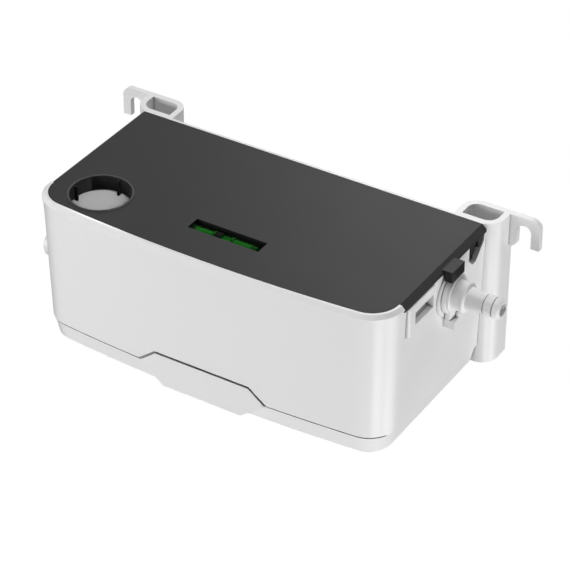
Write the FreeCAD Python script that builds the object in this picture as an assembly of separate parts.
import FreeCAD, Part
import math
import os

# Wall-hung tank pump for condensate, millimetres.
# X runs along the tank, Y from the front face to the wall behind it, Z up.
# The origin is the middle of the flat underside that the tank rests on.

os.makedirs("parts", exist_ok=True)
V = FreeCAD.Vector
UP = V(0, 0, 1)
ALONG = V(1, 0, 0)
ACROSS = V(0, 1, 0)

# Tank, outside
tank_height = 74.0
tank_length = 180.0
tank_depth = 92.5
front_bow = 4.8
front_corner_radius = 15.6
rear_corner_radius = 3.0
least_radius = 0.4
edge_hair = 0.01
full_turn = 360.0
wall = 2.3
floor_thickness = 2.6

# Rim round the front of the cover
rim_width = 1.2
rim_chamfer = 1.6
rim_land = 0.5
rim_step = 0.5
rim_end_back = 19.15
cover_gap = 0.2

# Foot band, set back under a groove
foot_height = 9.6
wall_draft_inset = 1.4
foot_step = 0.5
foot_slope_inset = 1.8
foot_edge_chamfer = 1.0
groove_height = 1.0
groove_depth = 1.2
groove_end_back = 13.25

# Bare six-sided plaque in the middle of the front
plaque_half_width = 32.2
plaque_top_half_width = 24.0
plaque_top_height = 16.1
plaque_bevel = 1.7
plaque_set_back = 0.2

# Rear spacer tubes and hanging ears, one at each end
tube_inner_inset = 16.7
tube_reach = 4.3
tube_overlap = 2.45
wall_standoff = 13.05
tube_wall = 2.8
tube_rear_round = 7.5
tube_front_round = 8.0
ear_reach = 18.9
ear_thickness = 2.8
ear_top_radius = 4.5
ear_leg_length = 14.5
ear_inner_leg_length = 16.2
ear_slot_width = 6.9
ear_slot_reach = 11.35
ear_strap = 3.9
ear_inner_bevel = 2.2

# Latch frame on the right wall
frame_front_y = -24.7
frame_rear_y = -2.3
frame_height = 17.8
frame_proud = 1.6
frame_bevel = 0.8
window_front_y = -19.8
window_rear_y = -4.6
window_bottom_drop = 13.4
window_top_drop = 7.0

# Cover
cover_plate = 2.5
cover_chamfer_width = 2.5
cover_chamfer_height = 2.3
cover_lip = 1.0
cover_seat_gap = 0.2
skirt_thickness = 1.5
skirt_depth = 3.5
skirt_gap = 0.5
rib_thickness = 1.2
rib_depth = 2.0
cover_rib_count = 5
tab_front_y = 5.8
tab_rear_y = 16.5
tab_top_drop = 1.4
tab_bottom_drop = 6.7
tab_reach = 4.0

# Cable notch in the right wall and the cover's two clamp teeth over it
notch_front_inset = 16.85
notch_rear_inset = 3.65
notch_depth = 14.7
notch_bevel = 3.7
tooth_thickness = 1.8
tooth_side_gap = 0.6
tooth_drop = 5.6
first_tooth_tip = 0.7
first_tooth_root = 5.4
second_tooth_start = 6.6
second_tooth_tip = 2.7
second_tooth_rise = 1.0

# Drain pipe inlet in the cover
inlet_inset_x = 25.4
inlet_inset_y = 22.65
inlet_bore_radius = 13.8
inlet_wall = 1.3
inlet_depth = 7.0
inlet_lip_width = 0.8
inlet_lip_rise = 0.5
inlet_rib_count = 4
inlet_rib_reach = 1.2
inlet_rib_width = 0.9
inlet_rib_extra = 1.2

# Level vial in its trough under the cover's window
window_length = 35.7
window_width = 7.6
vial_inset_y = 24.55
vial_radius = 3.7
vial_wall = 0.7
vial_length = 33.6
vial_centre_x = -1.8
vial_drop = 4.6
vial_plug_length = 2.4
vial_ring_width = 1.0
vial_ring_spacing = 9.2
vial_ring_depth = 0.25
vial_bubble_length = 8.0
vial_bubble_height = 1.1
trough_wall = 1.3
trough_clearance = 0.2

# Overflow spigot on the left wall, with a flat-faced collar that stops the hose
spigot_inset_y = 28.25
spigot_z = 34.0
spigot_radius = 6.5
spigot_bore_radius = 4.5
spigot_reach = 8.0
spigot_bevel = 0.8
spigot_collar_radius = 8.5

# Discharge port and its twist-lock check valve
port_y = 12.6
port_drop = 16.3
port_boss_radius = 11.2
port_boss_proud = 0.3
port_hole_radius = 5.7
inner_boss_radius = 10.0
inner_boss_inset = 4.6
flange_gap = 0.3
flange_radius = 9.3
flange_thickness = 1.7
second_ring_radius = 8.5
second_ring_thickness = 1.1
valve_body_radius = 6.7
valve_body_reach = 7.4
valve_spigot_radius = 4.0
valve_spigot_inset = 9.5
valve_seat_radius = 2.3
valve_chamber_radius = 4.8
valve_chamber_reach = 1.6
nozzle_reach = 25.0
nozzle_bore_radius = 3.0
shoulder_radius = 6.4
shoulder_length = 1.4
neck_start_radius = 4.9
neck_end_radius = 3.9
first_barb_reach = 17.2
barb_radius = 4.6
barb_root_radius = 3.9
barb_pitch = 4.0
nozzle_tip_radius = 3.8
nozzle_insert_length = 2.0
lug_angle = -100.0
lug_reach = 2.5
lug_width = 7.6
lug_thickness = 1.9
catch_front_y = 9.0
catch_rear_y = 16.4
catch_height = 4.2
catch_lip_thickness = 1.5
catch_lip_height = 2.4
catch_stop = 1.2
o_ring_section = 1.0
o_ring_inset = 3.4
o_ring_side_gap = 0.1
poppet_radius = 3.6
poppet_thickness = 1.5
poppet_seal_thickness = 0.6
poppet_stem_radius = 1.0
poppet_stem_gap = 0.05
spider_ring_radius = 1.7
spider_length = 1.4
spider_arm_width = 0.8
spider_arm_count = 3
spring_room_radius = 3.5
spring_wire_radius = 0.3
spring_mean_radius = 2.4
spring_turns = 4
spring_steps_per_turn = 8

# Inner deck that carries the pump and the motor
deck_drop = 38.0
deck_thickness = 2.2
deck_length = 120.0
deck_wall_gap = 0.5
deck_lip_height = 2.0
bulkhead_thickness = 1.8
bulkhead_drop = 11.0
boss_radius = 4.0
boss_left_inset = 114.0
boss_right_inset = 12.0
boss_front_inset = 13.75
boss_rear_inset = 11.75
screw_radius = 1.45
screw_length = 12.0
screw_head_radius = 2.9
screw_head_height = 2.0
screw_slot = 0.8
tongue_front_y = -18.6
tongue_rear_y = -5.8
tongue_thickness = 1.8
tongue_hook_depth = 3.0
tongue_gap = 0.3

# Pump under the deck
shaft_inset = 45.0
shaft_y = -1.4
shaft_radius = 1.5
shaft_bottom_z = 9.6
shaft_gap = 0.2
column_radius = 7.0
column_bore_radius = 4.6
volute_bottom_z = 8.0
volute_top_z = 20.0
volute_wall = 2.0
volute_start_radius = 14.5
volute_growth = 4.0
volute_points = 24
volute_outlet_angle = 90.0
volute_flange_radius = 11.0
outlet_radius = 4.6
outlet_bore_radius = 3.0
outlet_inset = 18.0
outlet_spigot_top_z = 27.0
eye_radius = 5.0
volute_cover_thickness = 2.0
volute_cover_rim = 0.6
volute_screw_count = 3
volute_screw_ring = 9.0
volute_screw_start = 30.0
volute_screw_radius = 0.9
volute_screw_head_radius = 1.8
volute_screw_head_height = 1.2
strainer_radius = 12.0
strainer_wall = 1.4
strainer_floor_gap = 0.3
strainer_slot_count = 16
strainer_slot_width = 2.2
strainer_slot_height = 2.0
impeller_radius = 12.6
impeller_bottom_z = 9.0
impeller_vane_height = 5.8
impeller_disc = 1.4
impeller_hub_radius = 3.4
vane_count = 6
vane_thickness = 1.1
vane_root_radius = 4.4
vane_tip_radius = 12.2
vane_sweep = 62.0
vane_curl = 1.3

# Motor on rubber bushes above the deck
motor_rise = 6.0
motor_radius = 16.8
motor_wall = 1.0
motor_vent_count = 8
motor_vent_width = 2.0
motor_height = 20.0
motor_plate_thickness = 2.0
motor_bolt_ring = 19.6
motor_bolt_count = 3
motor_bolt_start = 60.0
motor_bolt_radius = 1.25
motor_bolt_head_radius = 2.4
motor_bolt_head_height = 1.6
bush_radius = 3.4
bush_neck_radius = 2.8
bush_flange = 1.2
bearing_radius = 4.5
bearing_width = 3.0
bearing_recess_wall = 1.2
bearing_groove_width = 1.0
bearing_groove_depth = 0.4
stator_outer_radius = 15.6
stator_inner_radius = 9.6
stator_height = 8.0
stator_rise = 6.0
stator_tooth_count = 6
stator_slot_width = 4.6
stator_slot_depth = 3.6
coil_thickness = 1.5
coil_width = 5.5
magnet_radius = 9.0
magnet_height = 9.0
fan_rise = 21.4
fan_height = 4.2
fan_radius = 13.0
fan_hub_radius = 3.6
fan_blade_count = 7
fan_blade_thickness = 0.9
fan_blade_pitch = 38.0
fan_blade_chord = 5.6
seal_radius = 4.6
seal_height = 4.0
seal_lip_gap = 0.05
seal_lip_thickness = 1.2
seal_overlap = 0.1

# Discharge hose from the pump to the port
hose_bore_gap = 0.05
hose_wall = 1.9
hose_bottom_z = 18.0
hose_top_drop = 7.7
hose_hole_gap = 0.6
clamp_width = 4.0
clamp_thickness = 0.8
clamp_ear_reach = 3.0
clamp_ear_thickness = 0.9
clamp_inset_z = 2.5
elbow_radius = 5.4
elbow_spigot_radius = 4.6
elbow_bore_radius = 3.0
elbow_leg_length = 14.7
elbow_neck_drop = 7.3
elbow_socket_inset = 10.0
elbow_socket_radius = 4.05
elbow_shoulder_radius = 8.6
elbow_shoulder_thickness = 2.0
gasket_thickness = 0.8

# Control board
board_rise = 8.0
board_thickness = 1.6
board_left_inset = 115.0
board_right_inset = 69.0
board_front_inset = 15.25
board_rear_inset = 15.25
board_hole_inset = 4.0
standoff_radius = 3.0
board_screw_radius = 1.1
board_screw_length = 6.0
board_screw_head_radius = 2.2
board_screw_head_height = 1.3
board_screw_gap = 0.1
capacitor_radius = 5.0
capacitor_height = 14.0
capacitor_waist_depth = 0.5
capacitor_waist_height = 0.8
capacitor_waist_rise = 1.6
capacitor_from_left = 10.0
capacitor_inset = 19.0
relay_size = (19.0, 15.2, 15.5)
relay_from_left = 30.0
relay_inset = 20.0
terminal_size = (25.0, 8.0, 10.0)
terminal_from_left = 27.0
terminal_inset = 5.5
terminal_way_count = 5
terminal_hole_radius = 1.6
terminal_hole_depth = 2.5
heat_sink_size = (14.0, 22.0, 12.0)
heat_sink_from_left = 31.0
heat_sink_y = -14.0
heat_sink_fins = 5
heat_sink_base = 2.0
heat_sink_fin = 1.0

# Float switch
float_inset = 85.0
float_y = -5.0
guide_radius = 3.0
guide_bore_radius = 1.9
guide_bottom_z = 3.8
guide_flange_radius = 6.0
guide_flange_thickness = 1.5
guide_nut_radius = 5.5
guide_nut_height = 3.0
guide_groove_depth = 0.5
nut_sides = 6
guide_stem_above = 4.6
float_gap = 0.5
float_radius = 11.0
float_height = 12.0
float_bottom_z = 6.6
float_round = 2.0
float_magnet_inner = 4.6
float_magnet_outer = 6.6
float_magnet_height = 3.0
stop_gap = 0.3
stop_radius = 5.5
stop_thickness = 1.2
stop_mouth = 3.4
reed_radius = 1.2
reed_length = 14.0
reed_bottom_z = 12.0

# Values that follow from the sizes above
half_length = tank_length / 2
front_y = -tank_depth / 2
back_y = tank_depth / 2
bow_radius = (half_length ** 2 + front_bow ** 2) / (2 * front_bow)
rim_inset = rim_chamfer + rim_width
rim_bottom_z = tank_height - rim_chamfer - rim_land
wall_foot_inset = rim_step + wall_draft_inset
foot_top_inset = wall_foot_inset + foot_step
foot_bottom_inset = foot_top_inset + foot_slope_inset
rim_end_y = front_y + rim_end_back
groove_end_y = front_y + groove_end_back
tube_inner_x = half_length - tube_inner_inset
tube_outer_x = half_length + tube_reach
tube_front_y = back_y - tube_overlap
wall_plane_y = back_y + wall_standoff
ear_end_x = half_length + ear_reach
ear_leg_bottom_z = tank_height - ear_leg_length
ear_inner_leg_bottom_z = tank_height - ear_inner_leg_length
ear_slot_x = half_length + ear_slot_reach
frame_bottom_z = tank_height - frame_height
window_bottom_z = tank_height - window_bottom_drop
window_top_z = tank_height - window_top_drop
tab_reach_x = half_length + tab_reach
notch_front_y = back_y - notch_front_inset
notch_rear_y = back_y - notch_rear_inset
notch_bottom_z = tank_height - notch_depth
inlet_x = inlet_inset_x - half_length
inlet_y = front_y + inlet_inset_y
vial_y = front_y + vial_inset_y
spigot_y = front_y + spigot_inset_y
spigot_end_x = -half_length - spigot_reach
port_z = tank_height - port_drop
port_boss_face_x = half_length + port_boss_proud
inner_boss_face_x = half_length - inner_boss_inset
valve_body_end_x = half_length + valve_body_reach
valve_spigot_start_x = half_length - valve_spigot_inset
valve_chamber_start_x = half_length + valve_chamber_reach
nozzle_end_x = half_length + nozzle_reach
first_barb_x = half_length + first_barb_reach
o_ring_x = half_length - o_ring_inset
deck_bottom_z = tank_height - deck_drop
bulkhead_top_z = tank_height - bulkhead_drop
boss_right_x = half_length - boss_right_inset
boss_front_y = front_y + boss_front_inset
boss_rear_y = back_y - boss_rear_inset
outlet_x = half_length - outlet_inset
motor_base_z = deck_bottom_z + motor_rise
stator_bottom_z = motor_base_z + stator_rise
fan_z = motor_base_z + fan_rise
hose_top_z = port_z - hose_top_drop
elbow_spigot_bottom_z = port_z - elbow_leg_length
elbow_spigot_top_z = port_z - elbow_neck_drop
elbow_socket_start_x = half_length - elbow_socket_inset
board_z = deck_bottom_z + board_rise
deck_left_x = half_length - deck_length
boss_left_x = half_length - boss_left_inset
shaft_x = half_length - shaft_inset
board_left_x = half_length - board_left_inset
board_right_x = half_length - board_right_inset
capacitor_x = board_left_x + capacitor_from_left
relay_x = board_left_x + relay_from_left
terminal_x = board_left_x + terminal_from_left
heat_sink_x = board_left_x + heat_sink_from_left
float_x = half_length - float_inset
board_front_y = front_y + board_front_inset
board_rear_y = back_y - board_rear_inset
capacitor_y = board_rear_y - capacitor_inset
relay_y = board_rear_y - relay_inset
terminal_y = board_rear_y - terminal_inset
cover_inset = rim_inset + cover_gap
cover_underside_z = tank_height - cover_plate
overhang_bottom_z = tank_height - cover_chamfer_height - cover_lip
side_wall_top_z = overhang_bottom_z - cover_seat_gap
deck_top_z = deck_bottom_z + deck_thickness
vial_z = tank_height - vial_drop
flange_start_x = port_boss_face_x + flange_gap
flange_end_x = flange_start_x + flange_thickness
second_ring_end_x = flange_end_x + second_ring_thickness


def box(x0, x1, y0, y1, z0, z1):
    return Part.makeBox(x1 - x0, y1 - y0, z1 - z0, V(x0, y0, z0))


def rod(radius, z0, z1, x=0.0, y=0.0):
    return Part.makeCylinder(radius, z1 - z0, V(x, y, z0), UP)


def pipe(outer, inner, z0, z1, x=0.0, y=0.0):
    return rod(outer, z0, z1, x, y).cut(rod(inner, z0, z1, x, y))


def rod_x(radius, x0, x1, y, z):
    return Part.makeCylinder(radius, x1 - x0, V(x0, y, z), ALONG)


def pipe_x(outer, inner, x0, x1, y, z):
    return rod_x(outer, x0, x1, y, z).cut(rod_x(inner, x0, x1, y, z))


def cone_x(r0, r1, x0, x1, y, z):
    return Part.makeCone(r0, r1, x1 - x0, V(x0, y, z), ALONG)


def joined(shapes):
    first = shapes[0]
    if len(shapes) > 1:
        first = first.fuse(list(shapes[1:]))
    return first.removeSplitter()


def without(shape, tools):
    return shape.cut(list(tools))


def prism(points, direction):
    wire = Part.makePolygon(list(points) + [points[0]])
    return Part.Face(wire).extrude(direction)


def around(shape, count, centre, axis=UP, start=0.0):
    copies = []
    for index in range(count):
        copy = shape.copy()
        copy.rotate(centre, axis, start + index * full_turn / count)
        copies.append(copy)
    return copies


def mirrored(shape):
    return shape.mirror(V(0, 0, 0), ALONG)


def save(name, shape):
    shape.exportStep("parts/" + name + ".step")
    print(name, len(shape.Solids), "solid(s)", round(shape.Volume / 1000, 3), "cm3")


def tank_outline(inset, z):
    """Plan of the tank: straight back and sides, bowed front, round corners."""
    side = half_length - inset
    back = back_y - inset
    front = front_y + inset
    bow = bow_radius - inset
    round_front = max(front_corner_radius - inset, least_radius)
    round_back = max(rear_corner_radius - inset, least_radius)
    bow_y = front + bow
    corner_x = side - round_front
    corner_y = bow_y - math.sqrt((bow - round_front) ** 2 - corner_x ** 2)
    stretch = bow / (bow - round_front)
    touch_x = corner_x * stretch
    touch_y = bow_y + (corner_y - bow_y) * stretch
    lean = V(touch_x - corner_x, touch_y - corner_y, 0).normalize() + ALONG
    lean.normalize()
    mid_x = corner_x + lean.x * round_front
    mid_y = corner_y + lean.y * round_front
    diagonal = round_back * math.sqrt(0.5)
    rear_x = side - round_back
    rear_y = back - round_back
    edges = [
        Part.Arc(V(-touch_x, touch_y, z), V(0, front, z), V(touch_x, touch_y, z)),
        Part.Arc(V(touch_x, touch_y, z), V(mid_x, mid_y, z), V(side, corner_y, z)),
        Part.LineSegment(V(side, corner_y, z), V(side, rear_y, z)),
        Part.Arc(V(side, rear_y, z), V(rear_x + diagonal, rear_y + diagonal, z), V(rear_x, back, z)),
        Part.LineSegment(V(rear_x, back, z), V(-rear_x, back, z)),
        Part.Arc(V(-rear_x, back, z), V(-rear_x - diagonal, rear_y + diagonal, z), V(-side, rear_y, z)),
        Part.LineSegment(V(-side, rear_y, z), V(-side, corner_y, z)),
        Part.Arc(V(-side, corner_y, z), V(-mid_x, mid_y, z), V(-touch_x, touch_y, z)),
    ]
    return Part.Wire([edge.toShape() for edge in edges])


def tank_slab(inset, z0, z1):
    return Part.Face(tank_outline(inset, z0)).extrude(V(0, 0, z1 - z0))


def tank_loft(sections):
    wires = [tank_outline(inset, z) for inset, z in sections]
    return Part.makeLoft(wires, True, True)


def cavity_inset(z):
    """Inset of the tank's inside wall at a height above the foot band."""
    foot_inset = wall_foot_inset + wall + foot_step
    return foot_inset + (rim_inset - foot_inset) * (z - foot_height) / (tank_height - foot_height)


def plaque_outline(grow, y):
    """Six-sided plaque outline, grown outward, in the plane at y."""
    rise = plaque_top_height - foot_height
    slope = (plaque_half_width - plaque_top_half_width) / rise
    foot_half = plaque_half_width - slope * foot_height
    widen = grow * math.sqrt(1 + slope ** 2)
    return [
        V(-foot_half - widen, y, 0),
        V(-plaque_half_width - widen, y, foot_height),
        V(-plaque_top_half_width - widen + slope * grow, y, plaque_top_height + grow),
        V(plaque_top_half_width + widen - slope * grow, y, plaque_top_height + grow),
        V(plaque_half_width + widen, y, foot_height),
        V(foot_half + widen, y, 0),
    ]


def plaque_loft(sections):
    """Solid through plaque outlines of given growth at given y planes."""
    wires = []
    for grow, y in sections:
        points = plaque_outline(grow, y)
        wires.append(Part.makePolygon(points + [points[0]]))
    return Part.makeLoft(wires, True, True)


def rear_tube_plan(inset, z):
    """Plan of one rear tube: rounded at the rear inside and the front outside."""
    x0 = tube_inner_x + inset
    x1 = tube_outer_x - inset
    y0 = tube_front_y + inset
    y1 = wall_plane_y - inset
    rear = tube_rear_round - inset
    front = tube_front_round - inset
    bite = 1 - math.sqrt(0.5)
    edges = [
        Part.LineSegment(V(x0, y0, z), V(x1 - front, y0, z)),
        Part.Arc(V(x1 - front, y0, z), V(x1 - front * bite, y0 + front * bite, z), V(x1, y0 + front, z)),
        Part.LineSegment(V(x1, y0 + front, z), V(x1, y1, z)),
        Part.LineSegment(V(x1, y1, z), V(x0 + rear, y1, z)),
        Part.Arc(V(x0 + rear, y1, z), V(x0 + rear * bite, y1 - rear * bite, z), V(x0, y1 - rear, z)),
        Part.LineSegment(V(x0, y1 - rear, z), V(x0, y0, z)),
    ]
    return Part.Face(Part.Wire([edge.toShape() for edge in edges]))


def hanging_ear():
    """Flat plate in the wall plane with a hook slot open at the bottom."""
    y = wall_plane_y - ear_thickness
    slot_half = ear_slot_width / 2
    slot_top = tank_height - ear_strap - slot_half
    root_x = tube_outer_x - tube_wall / 2
    inner_x = ear_slot_x - slot_half
    outer_x = ear_slot_x + slot_half
    turn = ear_top_radius * (1 - math.sqrt(0.5))
    top = tank_height
    edges = [
        Part.LineSegment(V(root_x, y, top), V(ear_end_x - ear_top_radius, y, top)),
        Part.Arc(V(ear_end_x - ear_top_radius, y, top), V(ear_end_x - turn, y, top - turn),
                 V(ear_end_x, y, top - ear_top_radius)),
        Part.LineSegment(V(ear_end_x, y, top - ear_top_radius), V(ear_end_x, y, ear_leg_bottom_z)),
        Part.LineSegment(V(ear_end_x, y, ear_leg_bottom_z), V(outer_x, y, ear_leg_bottom_z)),
        Part.LineSegment(V(outer_x, y, ear_leg_bottom_z), V(outer_x, y, slot_top)),
        Part.Arc(V(outer_x, y, slot_top), V(ear_slot_x, y, slot_top + slot_half), V(inner_x, y, slot_top)),
        Part.LineSegment(V(inner_x, y, slot_top), V(inner_x, y, ear_inner_leg_bottom_z + ear_inner_bevel)),
        Part.LineSegment(V(inner_x, y, ear_inner_leg_bottom_z + ear_inner_bevel),
                         V(inner_x - ear_inner_bevel, y, ear_inner_leg_bottom_z)),
        Part.LineSegment(V(inner_x - ear_inner_bevel, y, ear_inner_leg_bottom_z),
                         V(root_x, y, ear_inner_leg_bottom_z)),
        Part.LineSegment(V(root_x, y, ear_inner_leg_bottom_z), V(root_x, y, top)),
    ]
    face = Part.Face(Part.Wire([edge.toShape() for edge in edges]))
    return face.extrude(V(0, ear_thickness, 0))


def deck_screw_places():
    return [(x, y) for x in (boss_left_x, boss_right_x) for y in (boss_front_y, boss_rear_y)]


def cable_notch():
    """Notch in the right wall's top edge, with a slanted rear side."""
    mid_y = (notch_front_y + notch_rear_y) / 2
    x = half_length - rim_inset - wall
    points = [
        V(x, notch_front_y, tank_height),
        V(x, notch_front_y, notch_bottom_z + notch_bevel),
        V(x, notch_front_y + notch_bevel, notch_bottom_z),
        V(x, mid_y, notch_bottom_z),
        V(x, notch_rear_y, side_wall_top_z - notch_bevel),
        V(x, notch_rear_y, tank_height),
    ]
    return prism(points, V(rim_inset + 2 * wall, 0, 0))


def lug_catch():
    """Hook on the right wall that the valve's lug turns behind, with its end stop."""
    top_z = port_z - flange_radius - lug_reach - flange_gap
    bottom_z = top_z - catch_height
    wall_x = half_length - wall
    lip_x = flange_start_x + lug_thickness + flange_gap
    middle_y = (catch_front_y + catch_rear_y) / 2
    shelf = box(wall_x, lip_x + catch_lip_thickness, catch_front_y, catch_rear_y, bottom_z, top_z)
    lip = box(lip_x, lip_x + catch_lip_thickness, middle_y, catch_rear_y,
              bottom_z, top_z + catch_lip_height)
    stop = box(wall_x, lip_x + catch_lip_thickness, catch_rear_y - catch_stop, catch_rear_y,
               bottom_z, top_z + catch_lip_height)
    return joined([shelf, lip, stop])


def bevelled_frame():
    """Raised block round the latch window, bevelled in front, behind and below."""
    wall_x = half_length - wall
    face_x = half_length + frame_proud - rim_step
    bevel_x = face_x - frame_bevel
    plan = [
        V(wall_x, frame_front_y, frame_bottom_z),
        V(bevel_x, frame_front_y, frame_bottom_z),
        V(face_x, frame_front_y + frame_bevel, frame_bottom_z),
        V(face_x, frame_rear_y - frame_bevel, frame_bottom_z),
        V(bevel_x, frame_rear_y, frame_bottom_z),
        V(wall_x, frame_rear_y, frame_bottom_z),
    ]
    section = [
        V(wall_x, frame_front_y, frame_bottom_z),
        V(bevel_x, frame_front_y, frame_bottom_z),
        V(face_x, frame_front_y, frame_bottom_z + frame_bevel),
        V(face_x, frame_front_y, side_wall_top_z),
        V(wall_x, frame_front_y, side_wall_top_z),
    ]
    upright = prism(plan, V(0, 0, side_wall_top_z - frame_bottom_z))
    return upright.common(prism(section, V(0, frame_rear_y - frame_front_y, 0)))


def tank_housing():
    lower = tank_loft([
        (foot_bottom_inset + foot_edge_chamfer, 0),
        (foot_bottom_inset, foot_edge_chamfer),
        (foot_top_inset, foot_height),
    ])
    upper = tank_loft([(wall_foot_inset, foot_height), (rim_step, rim_bottom_z)])
    rim = tank_loft([
        (0, rim_bottom_z),
        (0, rim_bottom_z + rim_land),
        (rim_chamfer, tank_height),
    ])
    plaque_y = front_y + wall_foot_inset + plaque_set_back
    plaque_back_y = front_y + foot_bottom_inset + wall
    ring_front = tank_slab(0, foot_height - groove_height / 2, foot_height + groove_height / 2)
    ring_back = tank_slab(wall_foot_inset + groove_depth, foot_height - groove_height,
                          foot_height + groove_height)
    groove_room = box(-half_length, half_length, front_y, groove_end_y, 0, 2 * foot_height)
    groove = ring_front.cut(ring_back).common(groove_room)
    plaque_recess = plaque_loft([
        (plaque_bevel, front_y + wall_foot_inset - groove_height),
        (plaque_bevel, front_y + wall_foot_inset),
        (groove_height, plaque_y + plaque_set_back),
        (groove_height, plaque_y + groove_depth),
    ])
    plaque = prism(plaque_outline(0, plaque_y), V(0, plaque_back_y - plaque_y, 0))

    right_tube = rear_tube_plan(0, 0).extrude(V(0, 0, tank_height))
    right_ear = hanging_ear()
    right_wall_x = half_length - wall
    frame = bevelled_frame()
    boss = rod_x(port_boss_radius, right_wall_x, port_boss_face_x, port_y, port_z)
    catch = lug_catch()
    spigot = joined([
        rod_x(spigot_collar_radius, -half_length, -half_length + wall, spigot_y, spigot_z),
        rod_x(spigot_radius, spigot_end_x + spigot_bevel, -half_length, spigot_y, spigot_z),
        cone_x(spigot_radius - spigot_bevel, spigot_radius, spigot_end_x,
               spigot_end_x + spigot_bevel, spigot_y, spigot_z),
    ])
    shell = joined([lower, upper, rim])
    shell = shell.cut([groove, plaque_recess]).fuse(plaque)
    shell = shell.fuse([right_tube, mirrored(right_tube), right_ear, mirrored(right_ear),
                        frame, boss, catch, spigot])

    cavity = tank_loft([
        (foot_bottom_inset + wall, floor_thickness),
        (cavity_inset(foot_height), foot_height),
        (cavity_inset(tank_height), tank_height),
    ])
    side_x = half_length - rim_inset
    side_room = box(side_x - wall, half_length, rim_end_y, back_y - rim_inset,
                    side_wall_top_z, tank_height)
    hollow = rear_tube_plan(tube_wall, 0).extrude(V(0, 0, tank_height))
    window = box(side_x - wall, half_length + wall, window_front_y, window_rear_y,
                 window_bottom_z, window_top_z)
    shell = without(shell, [cavity, side_room, mirrored(side_room), hollow, mirrored(hollow),
                            window, cable_notch()])

    inner_boss = rod_x(inner_boss_radius, inner_boss_face_x, right_wall_x, port_y, port_z)
    deck_bosses = []
    for x, y in deck_screw_places():
        pilot_z = deck_bottom_z - screw_length
        deck_bosses.append(rod(boss_radius, floor_thickness / 2, deck_bottom_z, x, y)
                           .cut(rod(screw_radius, pilot_z, deck_bottom_z, x, y)))
    shell = shell.fuse([inner_boss] + deck_bosses)
    port = rod_x(port_hole_radius, inner_boss_face_x, port_boss_face_x, port_y, port_z)
    spigot_bore = rod_x(spigot_bore_radius, spigot_end_x, -side_x + wall, spigot_y, spigot_z)
    return without(shell, [port, spigot_bore]).removeSplitter()


def cover_side():
    """Bevelled overhang along one side of the cover."""
    flat_x = half_length - cover_chamfer_width
    inner_x = half_length - cover_inset - cover_plate
    y0 = rim_end_y + cover_gap
    y1 = back_y - cover_inset
    points = [
        V(inner_x, y0, tank_height),
        V(flat_x, y0, tank_height),
        V(half_length, y0, tank_height - cover_chamfer_height),
        V(half_length, y0, overhang_bottom_z),
        V(inner_x, y0, overhang_bottom_z),
    ]
    return prism(points, V(0, y1 - y0, 0))


def clamp_teeth():
    """Two teeth that close the cable notch from above."""
    x = half_length - rim_inset + tooth_side_gap
    root_z = overhang_bottom_z + cover_lip / 2
    tip_z = overhang_bottom_z - tooth_drop
    first_y = notch_front_y + tooth_side_gap
    second_y = notch_front_y + second_tooth_start
    rear_y = notch_rear_y - tooth_side_gap
    first = [
        V(x, first_y, root_z),
        V(x, first_y, tip_z),
        V(x, first_y + first_tooth_tip, tip_z),
        V(x, first_y + first_tooth_root, root_z),
    ]
    second = [
        V(x, second_y, root_z),
        V(x, second_y + second_tooth_rise, tip_z + second_tooth_rise),
        V(x, second_y + second_tooth_rise + second_tooth_tip, tip_z + second_tooth_rise),
        V(x, rear_y, overhang_bottom_z - cover_lip),
        V(x, rear_y, root_z),
    ]
    reach = V(tooth_thickness, 0, 0)
    return [prism(first, reach), prism(second, reach)]


def top_cover():
    plate = tank_slab(cover_inset, cover_underside_z, tank_height)
    skirt_inset = rim_inset + skirt_gap
    skirt_bottom_z = cover_underside_z - skirt_depth
    skirt = tank_slab(skirt_inset, skirt_bottom_z, cover_underside_z).cut(
        tank_slab(skirt_inset + skirt_thickness, skirt_bottom_z, cover_underside_z))
    side = cover_side()
    ribs = []
    rib_room_x = half_length - skirt_inset - skirt_thickness
    for index in range(cover_rib_count):
        x = rib_room_x * (2 * (index + 1) / (cover_rib_count + 1) - 1)
        ribs.append(box(x - rib_thickness / 2, x + rib_thickness / 2,
                        front_y + cover_inset + 2 * wall, back_y - cover_inset - wall,
                        cover_underside_z - rib_depth, cover_underside_z))
    ribs.append(box(-rib_room_x, rib_room_x, -rib_thickness / 2, rib_thickness / 2,
                    cover_underside_z - rib_depth, cover_underside_z))
    tab_top_z = tank_height - tab_top_drop
    tab_upper = box(half_length - cover_chamfer_width, tab_reach_x, tab_front_y, tab_rear_y,
                    overhang_bottom_z, tab_top_z)
    tab_lower = box(flange_start_x, tab_reach_x, tab_front_y, tab_rear_y,
                    tank_height - tab_bottom_drop, overhang_bottom_z)
    collar = rod(inlet_bore_radius + inlet_wall, tank_height - inlet_depth, tank_height,
                 inlet_x, inlet_y)
    lip = Part.makeTorus(inlet_bore_radius + inlet_lip_width / 2, inlet_lip_width / 2,
                         V(inlet_x, inlet_y, tank_height + inlet_lip_rise - inlet_lip_width / 2))
    trough = vial_trough_outside()
    cover = joined([plate, skirt, side, mirrored(side), tab_upper, tab_lower, collar, lip, trough]
                   + ribs + clamp_teeth())
    bore = rod(inlet_bore_radius, tank_height - inlet_depth - rib_depth,
               tank_height + inlet_lip_width, inlet_x, inlet_y)
    cover = without(cover, [bore, vial_trough_inside()])
    rib_bottom_z = tank_height - inlet_depth - inlet_rib_extra
    grip = box(inlet_x + inlet_bore_radius - inlet_rib_reach, inlet_x + inlet_bore_radius + inlet_wall / 2,
               inlet_y - inlet_rib_width / 2, inlet_y + inlet_rib_width / 2,
               rib_bottom_z, tank_height - inlet_lip_width)
    grips = around(grip, inlet_rib_count, V(inlet_x, inlet_y, 0))
    return cover.fuse(grips).removeSplitter()


def vial_span():
    """Left and right ends of the vial."""
    return vial_centre_x - vial_length / 2, vial_centre_x + vial_length / 2


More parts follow.
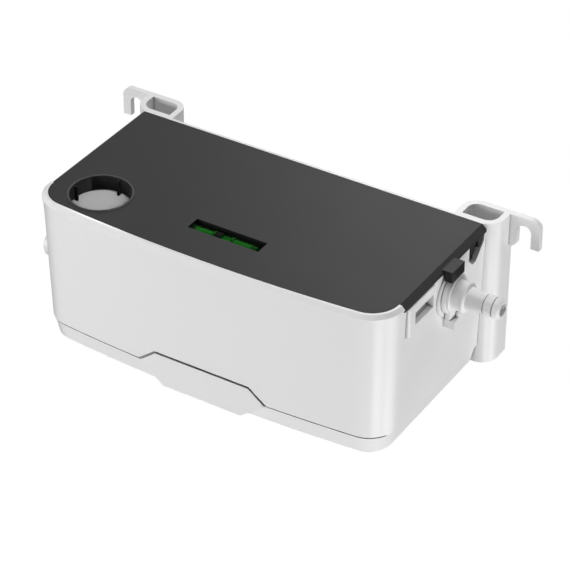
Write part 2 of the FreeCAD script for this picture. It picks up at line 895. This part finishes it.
def vial_trough_outside():
    left = min(vial_span()[0] - trough_clearance, -window_length / 2) - trough_wall
    half = window_width / 2 + trough_wall
    bottom = vial_z - vial_radius - trough_clearance - trough_wall
    return box(left, window_length / 2 + trough_wall, vial_y - half, vial_y + half,
               bottom, cover_underside_z)


def vial_trough_inside():
    left = min(vial_span()[0] - trough_clearance, -window_length / 2)
    half = window_width / 2
    bottom = vial_z - vial_radius - trough_clearance
    room = box(left, window_length / 2, vial_y - half, vial_y + half, bottom,
               vial_z + vial_radius + trough_clearance)
    opening = box(-window_length / 2, window_length / 2, vial_y - half, vial_y + half,
                  cover_underside_z, tank_height)
    return room.fuse(opening)


def vial_ring_places():
    return [vial_centre_x - vial_ring_spacing / 2, vial_centre_x + vial_ring_spacing / 2]


def level_vial():
    left, right = vial_span()
    tube = pipe_x(vial_radius, vial_radius - vial_wall, left, right, vial_y, vial_z)
    rings = [pipe_x(vial_radius, vial_radius - vial_ring_depth, x - vial_ring_width / 2,
                    x + vial_ring_width / 2, vial_y, vial_z) for x in vial_ring_places()]
    return without(tube, rings)


def vial_rings():
    return Part.makeCompound([
        pipe_x(vial_radius, vial_radius - vial_ring_depth, x - vial_ring_width / 2,
               x + vial_ring_width / 2, vial_y, vial_z) for x in vial_ring_places()])


def vial_end_plugs():
    left, right = vial_span()
    inner = vial_radius - vial_wall
    return Part.makeCompound([
        rod_x(inner, left, left + vial_plug_length, vial_y, vial_z),
        rod_x(inner, right - vial_plug_length, right, vial_y, vial_z)])


def vial_fluid():
    """Liquid that fills the tube but for the bubble at the top."""
    left, right = vial_span()
    inner = vial_radius - vial_wall
    liquid = rod_x(inner, left + vial_plug_length, right - vial_plug_length, vial_y, vial_z)
    bubble = box(vial_centre_x - vial_bubble_length / 2, vial_centre_x + vial_bubble_length / 2,
                 vial_y - inner, vial_y + inner, vial_z + inner - vial_bubble_height, vial_z + inner)
    return liquid.cut(bubble)


def snap_tongue():
    """Springy tongue of the deck that hooks into the latch window."""
    z1 = window_top_z - tongue_gap
    hook_z = window_bottom_z + tongue_gap
    x1 = half_length - cavity_inset(deck_bottom_z) - deck_wall_gap
    x0 = x1 - tongue_thickness
    points = [
        V(x0, tongue_front_y, deck_bottom_z),
        V(x1, tongue_front_y, deck_bottom_z),
        V(x1, tongue_front_y, hook_z),
        V(x1 + tongue_hook_depth, tongue_front_y, hook_z),
        V(x1, tongue_front_y, z1),
        V(x0, tongue_front_y, z1),
    ]
    return prism(points, V(0, tongue_rear_y - tongue_front_y, 0))


def deck_plate():
    """Deck that follows the tank's inside wall and stops short at the inlet bay."""
    slab = tank_slab(cavity_inset(deck_bottom_z) + deck_wall_gap, deck_bottom_z, deck_top_z)
    return slab.common(box(deck_left_x, half_length, front_y, back_y, deck_bottom_z, deck_top_z))


def board_hole_places():
    xs = (board_left_x + board_hole_inset, board_right_x - board_hole_inset)
    ys = (board_front_y + board_hole_inset, board_rear_y - board_hole_inset)
    return [(x, y) for x in xs for y in ys]


def motor_bolt_places():
    places = []
    for index in range(motor_bolt_count):
        angle = math.radians(motor_bolt_start + index * full_turn / motor_bolt_count)
        places.append((shaft_x + motor_bolt_ring * math.cos(angle),
                       shaft_y + motor_bolt_ring * math.sin(angle)))
    return places


def pump_carrier():
    room = tank_slab(cavity_inset(deck_bottom_z) + deck_wall_gap, deck_bottom_z, bulkhead_top_z)
    bulkhead = box(deck_left_x, deck_left_x + bulkhead_thickness, front_y, back_y,
                   deck_bottom_z, bulkhead_top_z).common(room)
    column = rod(column_radius, volute_top_z, deck_bottom_z, shaft_x, shaft_y)
    flange = rod(volute_flange_radius, volute_top_z, volute_top_z + volute_wall, shaft_x, shaft_y)
    collar = pipe(outlet_radius + hose_wall + hose_hole_gap + deck_thickness,
                  outlet_radius + hose_wall + hose_hole_gap, deck_top_z,
                  deck_top_z + deck_lip_height, outlet_x, port_y)
    standoffs = [rod(standoff_radius, deck_top_z, board_z, x, y) for x, y in board_hole_places()]
    carrier = joined([deck_plate(), bulkhead, column, flange, collar, snap_tongue()] + standoffs)
    cuts = [
        rod(column_bore_radius, volute_top_z, deck_top_z, shaft_x, shaft_y),
        rod(outlet_radius + hose_wall + hose_hole_gap, deck_bottom_z, deck_top_z, outlet_x, port_y),
        rod(guide_radius, deck_bottom_z, deck_top_z, float_x, float_y),
    ]
    for x, y in deck_screw_places():
        cuts.append(rod(screw_radius + seal_lip_gap, deck_bottom_z, deck_top_z, x, y))
    for x, y in board_hole_places():
        cuts.append(rod(board_screw_radius, board_z - board_screw_length + board_thickness, board_z, x, y))
    for x, y in motor_bolt_places():
        cuts.append(rod(motor_bolt_radius, deck_bottom_z, deck_top_z, x, y))
    for x, y in volute_screw_places():
        cuts.append(rod(volute_screw_radius, volute_top_z, volute_top_z + volute_wall, x, y))
    carrier = without(carrier, cuts)
    seal_shelf = pipe(column_radius, seal_radius, deck_bottom_z - seal_height - deck_thickness,
                      deck_bottom_z, shaft_x, shaft_y)
    return carrier.fuse(seal_shelf).removeSplitter()


def slotted_screw(radius, length, head_radius, head_height, x, y, z):
    """Screw with its head's underside at height z, pointing down."""
    shank = rod(radius, z - length, z, x, y)
    head = rod(head_radius, z, z + head_height, x, y)
    screw = shank.fuse(head).removeSplitter()
    arm = 2 * head_radius
    slots = [box(x - arm, x + arm, y - screw_slot / 2, y + screw_slot / 2,
                 z + head_height / 2, z + head_height),
             box(x - screw_slot / 2, x + screw_slot / 2, y - arm, y + arm,
                 z + head_height / 2, z + head_height)]
    return without(screw, slots)


def carrier_screws():
    return Part.makeCompound([
        slotted_screw(screw_radius, screw_length, screw_head_radius, screw_head_height, x, y, deck_top_z)
        for x, y in deck_screw_places()])


def scroll_face(wall_offset, z):
    """Spiral outline that widens once round towards the outlet side."""
    points = []
    for index in range(volute_points + 1):
        turn = index / volute_points
        angle = math.radians(volute_outlet_angle - full_turn * turn)
        radius = volute_start_radius + wall_offset + volute_growth * turn
        points.append(V(shaft_x + radius * math.cos(angle), shaft_y + radius * math.sin(angle), z))
    curve = Part.BSplineCurve()
    curve.interpolate(points)
    step = Part.LineSegment(points[-1], points[0])
    return Part.Face(Part.Wire([curve.toShape(), step.toShape()]))


def outlet_z():
    return (volute_bottom_z + volute_top_z - volute_wall) / 2


def volute_screw_places():
    places = []
    for index in range(volute_screw_count):
        angle = math.radians(volute_screw_start + index * full_turn / volute_screw_count)
        places.append((shaft_x + volute_screw_ring * math.cos(angle),
                       shaft_y + volute_screw_ring * math.sin(angle)))
    return places


def pump_volute():
    height = volute_top_z - volute_bottom_z
    scroll = scroll_face(volute_wall, volute_bottom_z).extrude(V(0, 0, height))
    outlet_y = port_y
    run = rod_x(outlet_radius, shaft_x, outlet_x, outlet_y, outlet_z())
    knee = Part.makeSphere(outlet_radius, V(outlet_x, outlet_y, outlet_z()))
    spigot = rod(outlet_radius - hose_bore_gap, outlet_z(), outlet_spigot_top_z, outlet_x, outlet_y)
    casing = joined([scroll, run, knee, spigot])
    room = scroll_face(0, volute_bottom_z).extrude(V(0, 0, height - volute_wall))
    run_bore = rod_x(outlet_bore_radius, shaft_x, outlet_x, outlet_y, outlet_z())
    knee_bore = Part.makeSphere(outlet_bore_radius, V(outlet_x, outlet_y, outlet_z()))
    spigot_bore = rod(outlet_bore_radius, outlet_z(), outlet_spigot_top_z, outlet_x, outlet_y)
    shaft_hole = rod(shaft_radius + shaft_gap, volute_bottom_z, volute_top_z, shaft_x, shaft_y)
    pilots = [rod(volute_screw_radius, volute_top_z - volute_wall, volute_top_z, x, y)
              for x, y in volute_screw_places()]
    return without(casing, [room, run_bore, knee_bore, spigot_bore, shaft_hole] + pilots)


def volute_cover():
    plate = scroll_face(volute_wall, volute_bottom_z - volute_cover_thickness).extrude(
        V(0, 0, volute_cover_thickness))
    eye_rim = rod(eye_radius + volute_wall, volute_bottom_z - volute_cover_thickness - volute_cover_rim,
                  volute_bottom_z - volute_cover_thickness, shaft_x, shaft_y)
    eye = rod(eye_radius, volute_bottom_z - volute_cover_thickness - volute_cover_rim,
              volute_bottom_z, shaft_x, shaft_y)
    return plate.fuse(eye_rim).cut(eye)


def volute_screws():
    return Part.makeCompound([
        slotted_screw(volute_screw_radius, volute_wall * 2, volute_screw_head_radius,
                      volute_screw_head_height, x, y, volute_top_z + volute_wall)
        for x, y in volute_screw_places()])


def inlet_strainer():
    """Slotted skirt that hangs from the volute's cover to just off the floor."""
    z0 = floor_thickness + strainer_floor_gap
    z1 = volute_bottom_z - volute_cover_thickness
    skirt = pipe(strainer_radius, strainer_radius - strainer_wall, z0, z1, shaft_x, shaft_y)
    slot = box(shaft_x + strainer_radius - 2 * strainer_wall, shaft_x + strainer_radius + strainer_wall,
               shaft_y - strainer_slot_width / 2, shaft_y + strainer_slot_width / 2,
               z0, z0 + strainer_slot_height)
    return without(skirt, around(slot, strainer_slot_count, V(shaft_x, shaft_y, 0)))


def swept_vane():
    """One backward-curved vane as a thin arc between root and tip radius."""
    sweep = math.radians(vane_sweep)
    steps = (0.0, 0.5, 1.0)
    centre_line = []
    for part in steps:
        radius = vane_root_radius + (vane_tip_radius - vane_root_radius) * part
        angle = sweep * part ** vane_curl
        centre_line.append(V(shaft_x + radius * math.cos(angle), shaft_y + radius * math.sin(angle), 0))
    sides = []
    for sign in (-0.5, 0.5):
        side = []
        for point in centre_line:
            out = V(point.x - shaft_x, point.y - shaft_y, 0).normalize()
            across = V(-out.y, out.x, 0)
            side.append(point + across * (sign * vane_thickness))
        sides.append(side)
    front = Part.Arc(*sides[0]).toShape()
    back = Part.Arc(*sides[1]).toShape()
    root = Part.LineSegment(sides[0][0], sides[1][0]).toShape()
    tip = Part.LineSegment(sides[0][2], sides[1][2]).toShape()
    face = Part.Face(Part.Wire(Part.sortEdges([front, tip, back, root])[0]))
    face.translate(V(0, 0, impeller_bottom_z))
    return face.extrude(V(0, 0, impeller_vane_height))


def impeller():
    disc_z = impeller_bottom_z + impeller_vane_height
    disc = rod(impeller_radius, disc_z, disc_z + impeller_disc, shaft_x, shaft_y)
    hub = rod(impeller_hub_radius, impeller_bottom_z + impeller_disc, disc_z + impeller_disc,
              shaft_x, shaft_y)
    wheel = joined([disc, hub] + around(swept_vane(), vane_count, V(shaft_x, shaft_y, 0)))
    return wheel.cut(rod(shaft_radius, impeller_bottom_z, disc_z + impeller_disc, shaft_x, shaft_y))


def motor_shaft():
    return rod(shaft_radius, shaft_bottom_z + impeller_disc, fan_z + fan_height, shaft_x, shaft_y)


def shaft_seal():
    """Lip seal pressed in the top of the column."""
    z0 = deck_bottom_z - seal_height
    lip_radius = shaft_radius + seal_lip_thickness
    ring = pipe(seal_radius, lip_radius, z0, deck_bottom_z, shaft_x, shaft_y)
    lip = pipe(lip_radius + seal_overlap, shaft_radius + seal_lip_gap, z0, z0 + seal_lip_thickness,
               shaft_x, shaft_y)
    return joined([ring, lip])


def motor_base():
    """Lower end plate with three feet, and the recess of the lower bearing."""
    plate = rod(motor_radius, motor_base_z, motor_base_z + motor_plate_thickness, shaft_x, shaft_y)
    feet = []
    for x, y in motor_bolt_places():
        feet.append(rod(bush_radius, motor_base_z, motor_base_z + motor_plate_thickness, x, y))
    arm = box(shaft_x + motor_radius - bush_radius, shaft_x + motor_bolt_ring,
              shaft_y - bush_radius, shaft_y + bush_radius,
              motor_base_z, motor_base_z + motor_plate_thickness)
    feet += around(arm, motor_bolt_count, V(shaft_x, shaft_y, 0), UP, motor_bolt_start)
    cup = rod(bearing_radius + bearing_recess_wall, motor_base_z,
              motor_base_z + bearing_recess_wall + bearing_width, shaft_x, shaft_y)
    base = joined([plate, cup] + feet)
    cuts = [rod(bearing_radius, motor_base_z + bearing_recess_wall,
                motor_base_z + bearing_recess_wall + bearing_width, shaft_x, shaft_y),
            rod(2 * shaft_radius, motor_base_z, motor_base_z + bearing_recess_wall, shaft_x, shaft_y)]
    for x, y in motor_bolt_places():
        cuts.append(rod(motor_bolt_radius, motor_base_z, motor_base_z + motor_plate_thickness, x, y))
    return without(base, cuts)


def motor_can():
    z0 = motor_base_z + motor_plate_thickness
    z1 = motor_base_z + motor_height
    can = rod(motor_radius, z0, z1, shaft_x, shaft_y)
    top_rim = [edge for edge in can.Edges if abs(edge.BoundBox.ZMin - z1) < edge_hair
               and edge.BoundBox.ZLength < edge_hair]
    can = can.makeFillet(motor_wall, top_rim)
    room = rod(motor_radius - motor_wall, z0, z1 - motor_wall, shaft_x, shaft_y)
    cup = rod(bearing_radius + bearing_recess_wall, z1 - bearing_recess_wall - bearing_width, z1,
              shaft_x, shaft_y)
    can = can.cut(room).fuse(cup).removeSplitter()
    bearing_room = rod(bearing_radius, z1 - bearing_recess_wall - bearing_width,
                       z1 - bearing_recess_wall, shaft_x, shaft_y)
    hole = rod(2 * shaft_radius, z1 - bearing_recess_wall, z1, shaft_x, shaft_y)
    vent = box(shaft_x + bearing_radius + 2 * bearing_recess_wall,
               shaft_x + motor_radius - motor_vent_width - motor_wall,
               shaft_y - motor_vent_width / 2, shaft_y + motor_vent_width / 2,
               z1 - 2 * motor_wall, z1)
    vents = around(vent, motor_vent_count, V(shaft_x, shaft_y, 0))
    return without(can, [bearing_room, hole] + vents)


def shaft_bearings():
    """Two ball bearings, drawn as rings with their side grooves."""
    bearings = []
    heights = (motor_base_z + bearing_recess_wall,
               motor_base_z + motor_height - bearing_recess_wall - bearing_width)
    for z in heights:
        ring = pipe(bearing_radius, shaft_radius, z, z + bearing_width, shaft_x, shaft_y)
        mid = (bearing_radius + shaft_radius) / 2
        outer = mid + bearing_groove_width / 2
        inner = mid - bearing_groove_width / 2
        top = z + bearing_width
        grooves = [pipe(outer, inner, z, z + bearing_groove_depth, shaft_x, shaft_y),
                   pipe(outer, inner, top - bearing_groove_depth, top, shaft_x, shaft_y)]
        bearings.append(without(ring, grooves))
    return Part.makeCompound(bearings)


def stator_core():
    """Laminated ring with teeth pointing inwards."""
    z1 = stator_bottom_z + stator_height
    ring = pipe(stator_outer_radius, stator_inner_radius, stator_bottom_z, z1, shaft_x, shaft_y)
    slot = box(shaft_x, shaft_x + stator_inner_radius + stator_slot_depth,
               shaft_y - stator_slot_width / 2, shaft_y + stator_slot_width / 2, stator_bottom_z, z1)
    return without(ring, around(slot, stator_tooth_count, V(shaft_x, shaft_y, 0)))


def stator_coils():
    """One winding on each tooth, above and below the core."""
    coil = []
    inner = stator_inner_radius + coil_thickness / 2
    outer = stator_inner_radius + stator_slot_depth
    half = coil_width / 2
    z1 = stator_bottom_z + stator_height
    step = full_turn / stator_tooth_count / 2
    for z in (stator_bottom_z - coil_thickness, z1):
        pad = box(shaft_x + inner, shaft_x + outer, shaft_y - half, shaft_y + half, z, z + coil_thickness)
        coil += around(pad, stator_tooth_count, V(shaft_x, shaft_y, 0), UP, step)
    return Part.makeCompound(coil)


def rotor_magnet():
    z0 = stator_bottom_z - (magnet_height - stator_height) / 2
    return pipe(magnet_radius, shaft_radius, z0, z0 + magnet_height, shaft_x, shaft_y)


def cooling_fan():
    hub = rod(fan_hub_radius, fan_z, fan_z + fan_height, shaft_x, shaft_y)
    blade = box(shaft_x + fan_hub_radius - fan_blade_thickness, shaft_x + fan_radius,
                shaft_y - fan_blade_thickness / 2, shaft_y + fan_blade_thickness / 2,
                fan_z + fan_height / 2 - fan_blade_chord / 2, fan_z + fan_height / 2 + fan_blade_chord / 2)
    blade.rotate(V(shaft_x, shaft_y, fan_z + fan_height / 2), ALONG, fan_blade_pitch)
    room = rod(fan_radius, fan_z, fan_z + fan_height, shaft_x, shaft_y)
    blades = [copy.common(room) for copy in around(blade, fan_blade_count, V(shaft_x, shaft_y, 0))]
    fan = joined([hub] + blades)
    return fan.cut(rod(shaft_radius, fan_z, fan_z + fan_height, shaft_x, shaft_y))


def motor_bushes():
    """Rubber bushes between the deck and the motor's feet."""
    bushes = []
    for x, y in motor_bolt_places():
        low = rod(bush_radius, deck_top_z, deck_top_z + bush_flange, x, y)
        neck = rod(bush_neck_radius, deck_top_z + bush_flange, motor_base_z - bush_flange, x, y)
        high = rod(bush_radius, motor_base_z - bush_flange, motor_base_z, x, y)
        bush = joined([low, neck, high])
        bushes.append(bush.cut(rod(motor_bolt_radius, deck_top_z, motor_base_z, x, y)))
    return Part.makeCompound(bushes)


def motor_bolts():
    head_z = motor_base_z + motor_plate_thickness
    return Part.makeCompound([
        slotted_screw(motor_bolt_radius, head_z - deck_bottom_z, motor_bolt_head_radius,
                      motor_bolt_head_height, x, y, head_z)
        for x, y in motor_bolt_places()])


def riser_hose():
    bore = outlet_radius
    return pipe(bore + hose_wall, bore, hose_bottom_z, hose_top_z, outlet_x, port_y)


def hose_clamps():
    """Two band clamps with a pair of squeeze ears each."""
    clamps = []
    inner = outlet_radius + hose_wall
    outer = inner + clamp_thickness
    heights = (hose_bottom_z + clamp_inset_z, hose_top_z - clamp_inset_z - clamp_width)
    for z in heights:
        band = pipe(outer, inner, z, z + clamp_width, outlet_x, port_y)
        ears = []
        for side in (-1, 1):
            mid = port_y + side * clamp_ear_thickness
            ears.append(box(outlet_x - outer - clamp_ear_reach, outlet_x - inner - clamp_thickness / 2,
                            mid - clamp_ear_thickness / 2, mid + clamp_ear_thickness / 2,
                            z, z + clamp_width))
        clamps.append(joined([band] + ears))
    return Part.makeCompound(clamps)


def port_elbow():
    """Elbow that turns the riser towards the wall and holds the valve's spigot."""
    leg = rod(elbow_radius, elbow_spigot_top_z, port_z, outlet_x, port_y)
    spigot = rod(elbow_spigot_radius - hose_bore_gap, elbow_spigot_bottom_z, elbow_spigot_top_z,
                 outlet_x, port_y)
    knee = Part.makeSphere(elbow_radius, V(outlet_x, port_y, port_z))
    run = rod_x(elbow_radius, outlet_x, port_boss_face_x, port_y, port_z)
    shoulder_x = inner_boss_face_x - gasket_thickness
    shoulder = rod_x(elbow_shoulder_radius, shoulder_x - elbow_shoulder_thickness, shoulder_x,
                     port_y, port_z)
    elbow = joined([leg, spigot, knee, run, shoulder])
    return without(elbow, [
        rod(elbow_bore_radius, elbow_spigot_bottom_z, port_z, outlet_x, port_y),
        Part.makeSphere(elbow_bore_radius, V(outlet_x, port_y, port_z)),
        rod_x(elbow_bore_radius, outlet_x, elbow_socket_start_x, port_y, port_z),
        rod_x(elbow_socket_radius, elbow_socket_start_x, port_boss_face_x, port_y, port_z),
    ])


def port_gasket():
    return pipe_x(elbow_shoulder_radius, port_hole_radius, inner_boss_face_x - gasket_thickness,
                  inner_boss_face_x, port_y, port_z)


def check_valve_body():
    """Twist-lock half of the check valve: spigot, flange, lug and chamber."""
    spigot = rod_x(valve_spigot_radius, valve_spigot_start_x, flange_start_x, port_y, port_z)
    flange = rod_x(flange_radius, flange_start_x, flange_end_x, port_y, port_z)
    second = rod_x(second_ring_radius, flange_end_x, second_ring_end_x, port_y, port_z)
    body = rod_x(valve_body_radius, second_ring_end_x, valve_body_end_x, port_y, port_z)
    lug_end_x = flange_start_x + lug_thickness
    lug = rod_x(flange_radius + lug_reach, flange_start_x, lug_end_x, port_y, port_z).common(
        box(flange_start_x, lug_end_x, port_y, port_y + 2 * flange_radius,
            port_z - lug_width / 2, port_z + lug_width / 2))
    lug.rotate(V(0, port_y, port_z), ALONG, lug_angle)
    valve = joined([spigot, flange, second, body, lug])
    groove_half = o_ring_section / 2 + o_ring_side_gap
    groove = pipe_x(valve_spigot_radius, valve_spigot_radius - o_ring_section,
                    o_ring_x - groove_half, o_ring_x + groove_half, port_y, port_z)
    return without(valve, [
        groove,
        rod_x(valve_seat_radius, valve_spigot_start_x, valve_chamber_start_x, port_y, port_z),
        rod_x(valve_chamber_radius, valve_chamber_start_x, valve_body_end_x, port_y, port_z),
    ])


def spider_start_x():
    """Face of the three-armed guide that the spring pushes against."""
    return valve_body_end_x + shoulder_length


def barb_nozzle():
    """Outlet half of the valve: insert, shoulder, tapered neck and two hose barbs."""
    shoulder_end = valve_body_end_x + shoulder_length
    second_barb_x = first_barb_x + barb_pitch
    nozzle = joined([
        rod_x(valve_chamber_radius, valve_body_end_x - nozzle_insert_length, valve_body_end_x,
              port_y, port_z),
        cone_x(valve_body_radius, shoulder_radius, valve_body_end_x, shoulder_end, port_y, port_z),
        cone_x(neck_start_radius, neck_end_radius, shoulder_end, first_barb_x, port_y, port_z),
        cone_x(barb_radius, barb_root_radius, first_barb_x, second_barb_x, port_y, port_z),
        cone_x(barb_radius, nozzle_tip_radius, second_barb_x, nozzle_end_x, port_y, port_z),
    ])
    nozzle = without(nozzle, [
        rod_x(nozzle_bore_radius, spider_start_x(), nozzle_end_x, port_y, port_z),
        rod_x(spring_room_radius, valve_body_end_x - nozzle_insert_length, spider_start_x(),
              port_y, port_z),
    ])
    guide_end_x = spider_start_x() + spider_length
    arm = box(spider_start_x(), guide_end_x, port_y, port_y + (nozzle_bore_radius + neck_end_radius) / 2,
              port_z - spider_arm_width / 2, port_z + spider_arm_width / 2)
    arms = around(arm, spider_arm_count, V(0, port_y, port_z), ALONG)
    hub = rod_x(spider_ring_radius, spider_start_x(), guide_end_x, port_y, port_z)
    nozzle = nozzle.fuse(arms + [hub]).removeSplitter()
    return nozzle.cut(rod_x(poppet_stem_radius + poppet_stem_gap, spider_start_x(), guide_end_x,
                            port_y, port_z))


def valve_o_ring():
    minor = o_ring_section / 2
    return Part.makeTorus(valve_spigot_radius - minor, minor, V(o_ring_x, port_y, port_z), ALONG)


def poppet_start_x():
    return valve_chamber_start_x + poppet_seal_thickness


def check_valve_poppet():
    start = poppet_start_x()
    disc = rod_x(poppet_radius, start, start + poppet_thickness, port_y, port_z)
    stem = rod_x(poppet_stem_radius, start + poppet_thickness,
                 spider_start_x() + spider_length, port_y, port_z)
    return joined([disc, stem])


def poppet_seal():
    return rod_x(poppet_radius, valve_chamber_start_x, poppet_start_x(), port_y, port_z)


def check_valve_spring():
    """Light coil spring between the poppet and the nozzle's three-armed guide."""
    x0 = poppet_start_x() + poppet_thickness + spring_wire_radius
    x1 = spider_start_x() - spring_wire_radius
    total = spring_turns * spring_steps_per_turn
    rise = (x1 - x0) / total
    points = []
    for step in range(total + 1):
        angle = 2 * math.pi * step / spring_steps_per_turn
        points.append(V(x0 + rise * step, port_y + spring_mean_radius * math.cos(angle),
                        port_z + spring_mean_radius * math.sin(angle)))
    wire = []
    for start, end in zip(points, points[1:]):
        length = start.distanceToPoint(end)
        wire.append(Part.makeCylinder(spring_wire_radius, length, start, end - start))
    for point in points[1:-1]:
        wire.append(Part.makeSphere(spring_wire_radius, point))
    return wire[0].fuse(wire[1:])


def control_board():
    board = box(board_left_x, board_right_x, board_front_y, board_rear_y, board_z,
                board_z + board_thickness)
    holes = [rod(board_screw_radius + board_screw_gap, board_z, board_z + board_thickness, x, y)
             for x, y in board_hole_places()]
    return without(board, holes)


def board_screws():
    return Part.makeCompound([
        slotted_screw(board_screw_radius, board_screw_length, board_screw_head_radius,
                      board_screw_head_height, x, y, board_z + board_thickness)
        for x, y in board_hole_places()])


def on_board(size, x, y):
    z = board_z + board_thickness
    return box(x - size[0] / 2, x + size[0] / 2, y - size[1] / 2, y + size[1] / 2, z, z + size[2])


def board_capacitor():
    z = board_z + board_thickness
    can = rod(capacitor_radius, z, z + capacitor_height, capacitor_x, capacitor_y)
    waist_z = z + capacitor_waist_rise
    waist = pipe(capacitor_radius, capacitor_radius - capacitor_waist_depth,
                 waist_z, waist_z + capacitor_waist_height, capacitor_x, capacitor_y)
    return can.cut(waist)


def board_relay():
    return on_board(relay_size, relay_x, relay_y)


def board_terminal_block():
    block = on_board(terminal_size, terminal_x, terminal_y)
    pitch = terminal_size[0] / terminal_way_count
    z1 = board_z + board_thickness + terminal_size[2]
    cuts = []
    for index in range(terminal_way_count):
        x = terminal_x - terminal_size[0] / 2 + pitch * (index + 0.5)
        cuts.append(rod(terminal_hole_radius, z1 - terminal_hole_depth, z1, x, terminal_y))
    return without(block, cuts)


def heat_sink():
    """Extruded block with upright fins along Y."""
    block = on_board(heat_sink_size, heat_sink_x, heat_sink_y)
    z0 = board_z + board_thickness + heat_sink_base
    z1 = board_z + board_thickness + heat_sink_size[2]
    half_depth = heat_sink_size[1] / 2
    gap = (heat_sink_size[0] - heat_sink_fins * heat_sink_fin) / (heat_sink_fins - 1)
    cuts = []
    for index in range(heat_sink_fins - 1):
        x = heat_sink_x - heat_sink_size[0] / 2 + heat_sink_fin + index * (gap + heat_sink_fin)
        cuts.append(box(x, x + gap, heat_sink_y - half_depth, heat_sink_y + half_depth, z0, z1))
    return without(block, cuts)


def float_guide():
    """Hollow stem that hangs from the deck with the reed switch inside."""
    stem = rod(guide_radius, guide_bottom_z, deck_top_z + guide_stem_above, float_x, float_y)
    flange = rod(guide_flange_radius, deck_bottom_z - guide_flange_thickness, deck_bottom_z,
                 float_x, float_y)
    bore = rod(guide_bore_radius, float_bottom_z,
               deck_top_z + guide_stem_above, float_x, float_y)
    groove_z = float_bottom_z - stop_gap
    groove = pipe(guide_radius, guide_radius - guide_groove_depth, groove_z - stop_thickness, groove_z,
                  float_x, float_y)
    return without(joined([stem, flange]), [bore, groove])


def float_guide_nut():
    points = []
    for index in range(nut_sides):
        angle = math.radians(index * full_turn / nut_sides)
        points.append(V(float_x + guide_nut_radius * math.cos(angle),
                        float_y + guide_nut_radius * math.sin(angle), deck_top_z))
    nut = prism(points, V(0, 0, guide_nut_height))
    return nut.cut(rod(guide_radius, deck_top_z, deck_top_z + guide_nut_height, float_x, float_y))


def float_ring():
    ring = rod(float_radius, float_bottom_z, float_bottom_z + float_height, float_x, float_y)
    rims = [edge for edge in ring.Edges if edge.BoundBox.ZLength < edge_hair]
    ring = ring.makeFillet(float_round, rims)
    return ring.cut([rod(guide_radius + float_gap, float_bottom_z, float_bottom_z + float_height,
                         float_x, float_y), float_magnet()])


def float_magnet():
    z = float_bottom_z + (float_height - float_magnet_height) / 2
    return pipe(float_magnet_outer, float_magnet_inner, z, z + float_magnet_height, float_x, float_y)


def float_stop_clip():
    z1 = float_bottom_z - stop_gap
    z0 = z1 - stop_thickness
    clip = pipe(stop_radius, guide_radius - guide_groove_depth, z0, z1, float_x, float_y)
    mouth = box(float_x, float_x + 2 * stop_radius, float_y - stop_mouth / 2, float_y + stop_mouth / 2,
                z0, z1)
    return clip.cut(mouth)


def reed_switch():
    return rod(reed_radius, reed_bottom_z, reed_bottom_z + reed_length, float_x, float_y)


pieces = [
    ("tank_housing", tank_housing),
    ("top_cover", top_cover),
    ("level_vial_tube", level_vial),
    ("level_vial_fluid", vial_fluid),
    ("level_vial_plugs", vial_end_plugs),
    ("level_vial_rings", vial_rings),
    ("pump_carrier", pump_carrier),
    ("carrier_screws", carrier_screws),
    ("pump_volute", pump_volute),
    ("volute_cover", volute_cover),
    ("volute_screws", volute_screws),
    ("inlet_strainer", inlet_strainer),
    ("impeller", impeller),
    ("motor_shaft", motor_shaft),
    ("shaft_seal", shaft_seal),
    ("motor_base", motor_base),
    ("motor_can", motor_can),
    ("shaft_bearings", shaft_bearings),
    ("stator_core", stator_core),
    ("stator_coils", stator_coils),
    ("rotor_magnet", rotor_magnet),
    ("cooling_fan", cooling_fan),
    ("motor_bushes", motor_bushes),
    ("motor_bolts", motor_bolts),
    ("riser_hose", riser_hose),
    ("hose_clamps", hose_clamps),
    ("port_elbow", port_elbow),
    ("port_gasket", port_gasket),
    ("check_valve_body", check_valve_body),
    ("barb_nozzle", barb_nozzle),
    ("valve_o_ring", valve_o_ring),
    ("check_valve_poppet", check_valve_poppet),
    ("poppet_seal", poppet_seal),
    ("check_valve_spring", check_valve_spring),
    ("control_board", control_board),
    ("board_screws", board_screws),
    ("board_capacitor", board_capacitor),
    ("board_relay", board_relay),
    ("board_terminal_block", board_terminal_block),
    ("board_heat_sink", heat_sink),
    ("float_guide", float_guide),
    ("float_guide_nut", float_guide_nut),
    ("float_ring", float_ring),
    ("float_magnet", float_magnet),
    ("float_stop_clip", float_stop_clip),
    ("reed_switch", reed_switch),
]

for name, make in pieces:
    save(name, make())
